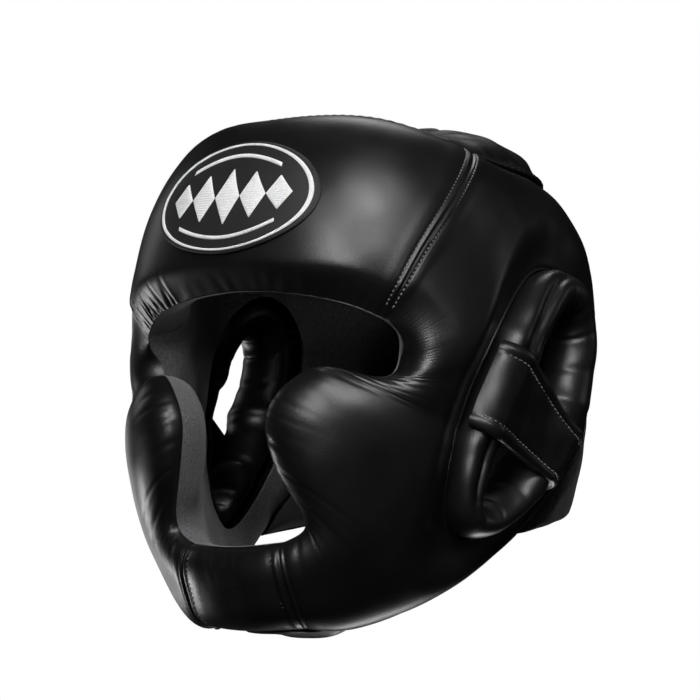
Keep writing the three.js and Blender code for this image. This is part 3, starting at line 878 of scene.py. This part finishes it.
forehead.folds = (
    gathers(11, 4, 44, 13, 1.6, 0.65, 9)
    + gathers(12, forehead.spine - 60, forehead.spine - 4, 9, 2.6, 0.3, 7)
    + gathers(13, 52, forehead.spine - 62, 7, 4.0, 0.2, 7)
)
side.folds = (
    gathers(14, 4, 0.40 * side.spine, 34, 1.1, 0.05, 14)
    + gathers(15, 0.42 * side.spine, 0.66 * side.spine, 10, 3.0, 0.2, 12)
    + gathers(16, 0.66 * side.spine, side.spine - 4, 10, 3.0, 0.2, 12)
)
chin.folds = gathers(17, 3, chin.spine - 3, 7, 2.6, 0.2, 10)


def panel_relief(panel, place, points):
    """How far a panel's leather stands out: dents, gathers, and the turned edge of the ear opening."""
    soft = panel.dents * DENTS(points) + panel.ripples * RIPPLES(points)
    if panel is forehead:
        soft *= 1 - bump(place.angle, 0, CALM.angle) * bump(points[..., 2], BADGE.height, CALM.height)
    total = soft + folds(place, panel.folds)
    if panel is side:
        share = ear_share(on_hollow(place.angle, place.height))
        total -= EAR_RIM.depth * (1 - rounding((share - 1) / EAR_RIM.reach))
    return keep_edges(place) * total


# Padded panels and linings

LINING_WAVES = 0.35
# panel, rows and columns of faces
LININGS = {"forehead": (forehead, 120, 24), "side": (side, 180, 40), "chin": (chin, 60, 14)}
EAR_PLUG = Sizes(sides=128, out=60.0, into=-14.0)  # the cutter of the ear openings


def panel_skin(panel):
    """The places of a panel's grid, and the points of its leather."""
    place = panel.place(*panel.grid(*panel.mesh))
    points = panel.outer(place)
    return place, raised(points, panel_relief(panel, place, points))


def panel_mesh(panel):
    place, skin = panel_skin(panel)
    return new_mesh(*wall(skin, panel.back(place)))


def lining_mesh(panel, rows, columns):
    """A lining, with its length down the middle and its greatest width."""
    place = panel.place(*panel.grid(rows, columns))
    outer = panel.back(place, LINING.gap)
    inner = panel.back(place, LINING.gap + LINING.thickness)
    inner = raised(inner, LINING_WAVES * RIPPLES(inner) * keep_edges(place))
    along = step_lengths(outer[:, outer.shape[1] // 2]).sum()
    across = step_lengths(outer, axis=1).sum(axis=1).max()
    return new_mesh(*wall(outer, inner)), (float(along), float(across))


def ear_frame(across, upright):
    y = EAR.y + across * math.cos(EAR.lean) + upright * math.sin(EAR.lean)
    z = EAR.z - across * math.sin(EAR.lean) + upright * math.cos(EAR.lean)
    return y, z


def egg_place(turn, inset):
    wide = (EAR.half_width - inset) * (1 + EAR.taper * np.sin(turn))
    return ear_frame(wide * np.cos(turn), (EAR.half_height - inset) * np.sin(turn))


def egg_half_width(upright, inset):
    share = upright / (EAR.half_height - inset)
    round_share = np.sqrt(np.maximum(1 - share * share, 0))
    return (EAR.half_width - inset) * (1 + EAR.taper * share) * round_share


def ear_plug():
    faces = []
    for offset in (EAR_PLUG.out, EAR_PLUG.into):
        rim = side_point(*egg_place(full_turn(EAR_PLUG.sides), 0.0), offset)
        hub = side_point(EAR.y, EAR.z, offset)
        faces.append(np.stack([np.broadcast_to(hub, rim.shape), rim]))
    return new_mesh(*wall(*faces, round_columns=True))


def add_pads():
    pads = [add_piece("forehead_soft", panel_mesh(forehead), PAD, "forehead_pad")]
    pads += add_pair("side_soft", cut_mesh(panel_mesh(side), ear_plug()), PAD, "side_pad")
    pads.append(add_piece("chin_soft", panel_mesh(chin), PAD, "chin_guard"))
    pads.append(add_piece("rear_soft", panel_mesh(rear), BAND, "rear_closure"))


def add_linings():
    for name, (panel, rows, columns) in LININGS.items():
        mesh, size = lining_mesh(panel, rows, columns)
        if panel is side:
            linings = add_pair("side_lining_cloth", cut_mesh(mesh, ear_plug()), INSIDE, "side_lining")
        else:
            linings = [add_piece(name + "_lining_cloth", mesh, INSIDE, name + "_lining")]


# Ear guards and their straps

EAR_MESH = Sizes(along=300, round=96)
EAR_RELIEF = Sizes(dents=0.6, ripples=0.25, crinkle=0.4, squeeze=0.9)
# place along the roll and half width of its inner crinkles, in radians
EAR_FOLDS = [(k * 0.41 + 0.2, (0.05, 0.08, 0.06, 0.1)[k % 4]) for k in range(16)]
STRAP_EDGE = Sizes(welt=0.84, welt_width=0.1, welt_height=1.0, turn=0.08)
STRAP_ROW = Sizes(across=0.70, width=0.05, depth=0.4)
STRAP_MESH = Sizes(bends=22, span=46, across=41)


def roll_width(along):
    """Half the roll's width along it: 0 is its rear, a quarter turn its top."""
    width = ROLL_WIDTH.mean - ROLL_WIDTH.front * np.cos(along) + ROLL_WIDTH.top * np.sin(along)
    return width + ROLL_WIDTH.sides * np.cos(2 * along)


def ear_ring(along, turn):
    """A point of the stuffed roll: along it, and round its section from the outer side."""
    inset = EAR_ROLL.gap + roll_width(along) * (1 - np.cos(turn))
    return side_point(*egg_place(along, inset), EAR_ROLL.middle + EAR_ROLL.half_depth * np.sin(turn))


def turned_by(angle, start):
    """An angle from a start, between half a turn back and half a turn on."""
    return np.angle(np.exp(1j * (angle - start)))


def roll_crease(along, turn):
    """The crease between the roll and the flatter band that runs beside it in front."""
    off_front = turned_by(along, np.pi)
    depth = ROLL_CREASE.depth * (1 - smoothstep(abs(off_front), 0.9, 1.5))
    middle = 1.5 - 0.7 * smoothstep(-off_front, 0.3, 1.5)
    return -depth * bump(turn, middle, ROLL_CREASE.half_width)


def ear_guard_relief(along, turn, points):
    """Dents, crinkles on the inner side, the strap's squeeze and the crease in front."""
    soft = EAR_RELIEF.dents * DENTS(points) + EAR_RELIEF.ripples * RIPPLES(points)
    inner = (1 - np.cos(turn)) / 2
    crinkle = sum(pinch(turned_by(along, spot) / width) for spot, width in EAR_FOLDS)
    level = (EAR.half_height - EAR_ROLL.gap - roll_width(along)) * np.sin(along)
    off_strap = abs((level - EAR_STRAP.middle) / EAR_STRAP.half_width)
    squeeze = EAR_RELIEF.squeeze * (bump(off_strap, 1.5, 0.3) - smoothstep(-off_strap, -1.25, -0.9))
    pinched = EAR_RELIEF.crinkle * crinkle * inner**2 + squeeze * abs(np.cos(along)) ** 0.5
    return soft + pinched + roll_crease(along, turn)


def ear_guard_mesh():
    along, turn = full_turn(EAR_MESH.along)[:, None], full_turn(EAR_MESH.round)[None, :]
    points = ear_ring(along, turn)
    points = raised(points, ear_guard_relief(along, turn, points), closed=True)
    return new_mesh(points.reshape(-1, 3), grid_faces(EAR_MESH.along, EAR_MESH.round, True, True))


def strap_rows():
    """Stations along the ear strap: the limb it leans on, and how far it is bent down over it."""
    bends = np.radians(np.linspace(EAR_STRAP.wrap, 0, STRAP_MESH.bends, endpoint=False))
    limb = np.ones(STRAP_MESH.bends)
    sides = np.concatenate([-limb, np.linspace(-1, 1, STRAP_MESH.span), limb])
    return sides, np.concatenate([bends, np.zeros(STRAP_MESH.span), bends[::-1]])


def limb_width(level, sides):
    """Half the roll's width at a height along the opening, on its front or rear side."""
    rise = np.arcsin(level / (EAR.half_height - ROLL_WIDTH.mean - 0.8))
    return roll_width(np.where(sides < 0, np.pi - rise, rise))


def strap_point(sides, bends, across, lift):
    flare = EAR_STRAP.flare * (1 - sides) / 2 * (1 - across) / 2
    level = EAR_STRAP.middle + EAR_STRAP.half_width * across - EAR_STRAP.skew * sides - flare
    half_width = limb_width(level, sides)
    reach = (half_width + lift) * np.sin(bends)
    out = sides * egg_half_width(level, EAR_ROLL.gap + half_width) + np.sign(sides) * reach
    sag = EAR_STRAP.sag * np.clip(1 - sides**2, 0, 1)
    offset = EAR_ROLL.middle + (EAR_ROLL.half_depth + lift) * np.cos(bends) - sag
    return side_point(*ear_frame(out, level), offset)


def strap_profile(across):
    """The strap's thickness: turned edges stand up beside their stitches."""
    edge = abs(across)
    welt = STRAP_EDGE.welt_height * bump(edge, STRAP_EDGE.welt, STRAP_EDGE.welt_width)
    row = -STRAP_ROW.depth * bump(edge, STRAP_ROW.across, STRAP_ROW.width)
    return EAR_STRAP.thickness * rounding((1 - edge) / STRAP_EDGE.turn + 0.15) + welt + row


def ear_strap_mesh():
    sides, bends = (row[:, None] for row in strap_rows())
    across = np.sin(np.linspace(-np.pi / 2, np.pi / 2, STRAP_MESH.across))[None, :]
    outer = strap_point(sides, bends, across, EAR_STRAP.gap + strap_profile(across))
    inner = strap_point(sides, bends, across, EAR_STRAP.gap)
    creases = waves(21, 13)(outer * np.array([1, 1, 0.4]))
    return new_mesh(*wall(raised(outer, 0.3 * RIPPLES(outer) + 0.2 * creases), inner))


def strap_stitches():
    rows = []
    inner_part = slice(6, -6)
    for across in (-STRAP_ROW.across, STRAP_ROW.across):
        lift = EAR_STRAP.gap + strap_profile(across)
        path, above = (strap_point(*strap_rows(), across, lift + more)[inner_part] for more in (0, 1))
        rows.append(stitches(path, unit(above - path), STRAP_STITCH))
    return joined(rows)


def add_ears():
    for guard in add_pair("ear_guard_soft", ear_guard_mesh(), SOFT, "ear_guard"):
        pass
    add_pair("ear_strap_soft", ear_strap_mesh(), SOFT, "ear_strap", sharp=60)
    add_pair("ear_strap_stitches", new_mesh(*strap_stitches(), weld=False), SOFT_THREAD)


# Crown, its piping and lace

PIPING = Sizes(radius=2.1, offset=11.6, rise=0.6, points=500, sides=12, ripple=0.06)
CROWN_MESH = Sizes(along=150, across=52)
CROWN_FOLDS = Sizes(fine=0.6, long=0.9, gather=0.9, gathers=46, reach=0.16, hem=0.8)
HOLE = Sizes(low=-8.0, high=6.0, steps=5, sides=18)
EYELET_RING = Sizes(out=0.7, radius=1.05, points=28, lift=0.5)
LACE_MESH = Sizes(steps=14, sides=12, up=(0.03, 0.02, 1))


def rim_point(angle):
    return pad_point(angle, rim_height(angle) + CROWN.seam_gap, CROWN.offset)


def crown_point(angle, share):
    """A point of the left crown flap: share is 0 on the rim and 1 at the gap over the mid-line."""
    angle, share = np.broadcast_arrays(np.asarray(angle, float), np.asarray(share, float))
    rim, first, last = rim_point(angle), rim_point(0.0), rim_point(180.0)
    along = (1 - np.cos(np.radians(angle))) / 2
    middle = mix(first, last, along[..., None])
    middle[..., 2] += CROWN.rise * np.sin(np.pi * along**CROWN.lag)
    turn = share * np.pi / 2
    x = CROWN.half_gap + (rim[..., 0] - CROWN.half_gap) * np.cos(turn)
    z = mix(rim[..., 2], middle[..., 2], np.sin(turn))
    return np.stack([x, mix(rim[..., 1], middle[..., 1], share), z], axis=-1)


def crown_offset(angle, share, offset):
    turn, step = 1.0, 0.02
    around = crown_point(angle + turn, share) - crown_point(angle - turn, share)
    rise = crown_point(angle, np.minimum(share + step, 1)) - crown_point(angle, np.maximum(share - step, 0))
    return crown_point(angle, share) + unit(np.cross(around, rise)) * offset


def eyelet_places():
    along = np.linspace(LACE.first, LACE.last, LACE.bars)
    angles = np.degrees(np.arccos(1 - 2 * along))
    reach = (EYELET.x - CROWN.half_gap) / (rim_point(angles)[..., 0] - CROWN.half_gap)
    return list(zip(angles, 2 * np.arccos(reach) / np.pi))


def crown_flap_mesh():
    angle = np.linspace(CROWN.first_angle, 180 - CROWN.first_angle, CROWN_MESH.along)[:, None]
    share = np.linspace(0, 1, CROWN_MESH.across)[None, :]
    outer, inner = (crown_offset(angle, share, offset) for offset in (0, -CROWN.thickness))
    fine, long = waves(31, 16), waves(32, 45)
    phase = np.radians(angle) * CROWN_FOLDS.gathers + 1.5 * long(outer)
    gather = np.sin(phase) * bump(share, 0, CROWN_FOLDS.reach)
    hem = CROWN_FOLDS.hem * bump(share, 0.95, 0.04)
    wrinkle = CROWN_FOLDS.fine * fine(outer * np.array([0.5, 1, 1]))
    wrinkle += CROWN_FOLDS.long * long(outer) + CROWN_FOLDS.gather * gather
    wrinkle *= smoothstep(share, 0, 0.08) * smoothstep(-share, -1, -0.9)
    mesh = new_mesh(*wall(raised(outer, wrinkle + hem), raised(inner, wrinkle)))
    holes = []
    for place in eyelet_places():
        ends = [crown_offset(*place, offset) for offset in np.linspace(HOLE.low, HOLE.high, HOLE.steps)]
        holes.append(tube(np.array(ends), EYELET.radius, HOLE.sides, up=(0, 1, 0.2)))
    return cut_mesh(mesh, new_mesh(*joined(holes)))


def eyelet_part():
    """Pressed rings round the lace holes."""
    made = []
    for place in eyelet_places():
        middle = crown_offset(*place, EYELET_RING.lift)
        up = unit(crown_offset(*place, EYELET_RING.lift + 1) - middle)
        aside = unit(np.cross(up, np.array([0.0, 1.0, 0.0])))
        path = rings(middle, aside, np.cross(up, aside), EYELET.radius + EYELET_RING.out, EYELET_RING.points)
        made.append(tube(path, EYELET_RING.radius, closed=True, up=up))
    return joined(made)


def lace_path():
    """Bars over the gap, joined by slanting runs under the flaps."""
    lift = LACE.radius + LACE.gap
    points = []
    for place in eyelet_places():
        left = [crown_offset(*place, h) for h in (-CROWN.thickness - lift, -CROWN.thickness / 2, lift)]
        points += [*left, *(point * OTHER_SIDE for point in left[::-1])]
    return catmull(np.array(points), LACE_MESH.steps)


def catmull(points, steps):
    """A smooth path through points, spaced by the root of their distance."""
    points = np.concatenate([[2 * points[0] - points[1]], points, [2 * points[-1] - points[-2]]])
    knots = np.append(0, np.cumsum(step_lengths(points) ** 0.5))
    path = []
    for i in range(1, len(points) - 2):
        p, t = points[i - 1 : i + 3], knots[i - 1 : i + 3]
        for s in np.linspace(t[1], t[2], steps, endpoint=False):
            a = [(p[k] * (t[k + 1] - s) + p[k + 1] * (s - t[k])) / (t[k + 1] - t[k]) for k in range(3)]
            b = [(a[k] * (t[k + 2] - s) + a[k + 1] * (s - t[k])) / (t[k + 2] - t[k]) for k in range(2)]
            path.append((b[0] * (t[2] - s) + b[1] * (s - t[1])) / (t[2] - t[1]))
    path.append(points[-2])
    return np.array(path)


def add_crown():
    add_pair("crown_flap_soft", crown_flap_mesh(), SOFT, "crown_flap")
    add_pair("crown_eyelets", new_mesh(*eyelet_part()), SOFT_THREAD)
    lace = tube(lace_path(), LACE.radius, LACE_MESH.sides, up=LACE_MESH.up)
    add_piece("crown_lace_cord", new_mesh(*lace), CORD, "crown_lace")
    angle = np.linspace(-180, 180, PIPING.points, endpoint=False)
    path = pad_point(angle, rim_height(angle) + PIPING.rise, PIPING.offset)
    radius = PIPING.radius * (1 + PIPING.ripple * np.sin(np.radians(angle) * 90 + 3 * DENTS(path)))
    add_piece("crown_piping", new_mesh(*tube(path, radius, PIPING.sides, closed=True)), SOFT)


# Piping on the pads' lower and rear edge and round the ear openings

EDGE_PIPING = Sizes(radius=1.3, first=0.27, step=1.0, sunk=0.3)
EAR_PIPING = Sizes(radius=1.0, out=1.5, points=260, smoothings=12)


def edge_line(panel, first):
    """Points just outside a panel's outer edge, from a distance down it to its end."""
    down = np.linspace(first, panel.spine, int((panel.spine - first) / EDGE_PIPING.step))
    place = panel.place(down, panel.lengths(down))
    return pad_point(place.angle, place.height, PAD_BASE + place.lip - EDGE_PIPING.sunk)


def ear_piping_path():
    """The line where the side pad's skin turns into the ear opening."""
    place, skin = panel_skin(side)
    tree = tree_of(on_hollow(place.angle, place.height).reshape(-1, 3))
    spots = side_point(*egg_place(full_turn(EAR_PIPING.points), -EAR_PIPING.out), 0.0)
    path = np.array([skin.reshape(-1, 3)[tree.find(spot)[1]] for spot in spots])
    for _ in range(EAR_PIPING.smoothings):
        path = (np.roll(path, 1, 0) + 2 * path + np.roll(path, -1, 0)) / 4
    return path


def add_piping():
    flank, under = edge_line(side, EDGE_PIPING.first * side.spine), edge_line(chin, 0.0)
    path = np.concatenate([flank, under[1:-1], flank[::-1] * OTHER_SIDE])
    add_piece("edge_piping", new_mesh(*tube(path, EDGE_PIPING.radius)), SOFT)
    ear = tube(ear_piping_path(), EAR_PIPING.radius, closed=True, up=(1, 0, 0))
    add_pair("ear_piping", new_mesh(*ear), SOFT)


# Seam stitches

# first and last share of the seam, the panel that ends there and the one that starts there
SEAMS = {"temple": (0.06, 0.97, forehead, side), "jaw": (0.1, 0.9, side, chin)}
SEAM_STITCH = Sizes(points=80, sunk=0.35)


def seam_row(panel, down, first, last):
    """A row of stitches beside a sewn end of a panel."""
    far = np.linspace(first, last, SEAM_STITCH.points) * panel.lengths(down)
    points, normals = panel.skin(down, far)
    return stitches(points - normals * SEAM_STITCH.sunk, normals, STITCH)


def add_stitches():
    for name, (first, last, above, below) in SEAMS.items():
        rows = [seam_row(above, above.spine - SEAM.row, first, last), seam_row(below, SEAM.row, first, last)]
        add_pair(name + "_stitches", new_mesh(*joined(rows), weld=False), PAD_THREAD)


# Brow badge

BADGE_MESH = Sizes(round=160, across=18, edge=0.06, under=-0.9)
RIM_BAND = Sizes(middle=0.92, half_width=0.022, height=0.5, threads=240, points=4, sides=10, ripple=0.22)
SATIN = Sizes(sunk=0.4, thread=0.25, tip=0.004)
LOZENGE_MESH = Sizes(up=81, across=13, dome=0.75, waves=60, end=4)
LINE_MESH = Sizes(along=121, across=9, dome=0.6, waves=90, end=12)
# middle across, as a share of the badge, and half sizes
LOZENGES = [(-0.62, 0.13, 0.28), (-0.33, 0.15, 0.38), (0, 0.17, 0.46), (0.33, 0.15, 0.38), (0.62, 0.13, 0.28)]
# height in the middle, how much less at the ends, half span and half width
LINES = [(0.7, 0.24, 0.6, 0.035), (-0.7, -0.24, 0.6, 0.035)]


def forehead_thick(angle, height):
    """The forehead pad's thickness at a place of it."""
    def place_at(along):
        ribs = forehead.rib_at(along)
        t = (height - ribs[..., 1]) / (ribs[..., 3] - ribs[..., 1])
        return forehead.across(ribs, t)

    along = halving(0, 1, np.shape(angle), lambda trial: place_at(trial)[0] < angle)
    return place_at(along)[2]


def badge_point(across, up, lift):
    """A place of the badge, in shares of its half sizes."""
    across, up, lift = np.broadcast_arrays(across, up, lift)
    angle, height = BADGE.half_angle * across, BADGE.height + BADGE.half_height * up
    return pad_point(angle, height, PAD_BASE + forehead_thick(angle, height) + BADGE.gap + lift)


def badge_oval(share, turn, lift):
    return badge_point(share * np.cos(turn), share * np.sin(turn), lift)


def satin(across, up, dome):
    """A raised patch of thread on the badge."""
    return wall(*(badge_point(across, up, BADGE.thickness + lift) for lift in (dome, -SATIN.sunk)))


def satin_dome(along, across, mesh):
    """The height of rows of thread, rounded at both edges and both ends."""
    thread = 1 + SATIN.thread * np.sin(along * mesh.waves)
    return mesh.dome * rounding(1 - abs(across)) * thread * rounding((1 - abs(along)) * mesh.end)


def lozenge(across, half_wide, half_tall):
    """A satin-stitched lozenge: level threads, longest in the middle."""
    v, u = np.linspace(-1, 1, LOZENGE_MESH.up)[:, None], np.linspace(-1, 1, LOZENGE_MESH.across)[None, :]
    wide = half_wide * (1 - abs(v)) + SATIN.tip
    return satin(across + u * wide, v * half_tall, satin_dome(v, u, LOZENGE_MESH))


def stitched_line(up, drop, half_span, half_wide):
    """A curved satin-stitched line."""
    u, v = np.linspace(-1, 1, LINE_MESH.along)[:, None], np.linspace(-1, 1, LINE_MESH.across)[None, :]
    return satin(half_span * u, up - drop * u * u + half_wide * v, satin_dome(u, v, LINE_MESH))


def add_badge():
    turn = -full_turn(BADGE_MESH.round)[None, :]
    share = np.sin(np.linspace(np.pi / 2, 0, BADGE_MESH.across))[:, None]
    lift = BADGE.thickness * rounding((1 - share) / BADGE_MESH.edge + 0.1)
    faces = [badge_oval(share, turn, lift), badge_oval(share, turn, BADGE_MESH.under)]
    add_piece("badge_patch_cloth", new_mesh(*wall(*faces, round_columns=True)), PATCH, "brow_badge")
    count = RIM_BAND.threads * RIM_BAND.points
    turn, section = full_turn(count)[:, None], full_turn(RIM_BAND.sides)[None, :]
    ripple = 1 + RIM_BAND.ripple * np.sin(turn * RIM_BAND.threads)
    share = RIM_BAND.middle + RIM_BAND.half_width * np.cos(section)
    points = badge_oval(share, turn, BADGE.thickness + RIM_BAND.height * np.sin(section) * ripple)
    rim = new_mesh(points.reshape(-1, 3), grid_faces(count, RIM_BAND.sides, True, True))
    add_piece("badge_rim", rim, EMBROIDERY)
    motif = [lozenge(*row) for row in LOZENGES] + [stitched_line(*row) for row in LINES]
    add_piece("badge_motif", new_mesh(*joined(motif)), EMBROIDERY)


# Chin strap

CHIN_MESH = Sizes(along=90, across=25, sunk=0.5)
# height, place across and half width of the turned edge and of the groove beside it
CHIN_EDGE = [(0.7, 0.86, 0.09), (-0.3, 0.72, 0.05)]


def add_chin_strap():
    turn = np.linspace(-np.pi / 2, np.pi / 2, CHIN_MESH.along)[:, None]
    across = np.sin(np.linspace(-np.pi / 2, np.pi / 2, CHIN_MESH.across))[None, :]
    edge = abs(across)
    welt = sum(height * bump(edge, middle, width) for height, middle, width in CHIN_EDGE)
    flare = smoothstep(np.cos(turn), CHIN_FLARE.first, 1) * (1 - across) / 2
    y = CHIN_STRAP.y + CHIN_STRAP.width / 2 * across - CHIN_FLARE.more * flare
    faces = []
    for lift in (0.35 * rounding((1 - edge) / 0.1) + welt - CHIN_MESH.sunk, -CHIN_STRAP.thickness):
        x = (CHIN_STRAP.half_span + lift) * np.sign(turn) * abs(np.sin(turn)) ** CHIN_STRAP.bend
        z = CHIN_STRAP.top - (CHIN_STRAP.drop + lift) * abs(np.cos(turn)) ** CHIN_STRAP.bend
        faces.append(np.stack(np.broadcast_arrays(x, y, z + CHIN_FLARE.tilt * flare), axis=-1))
    add_piece("chin_strap_soft", new_mesh(*wall(*faces)), SOFT, "chin_strap")


add_camera()
add_lamps()
add_world()
add_floor()
add_pads()
add_linings()
add_ears()
add_crown()
add_piping()
add_stitches()
add_badge()
add_chin_strap()
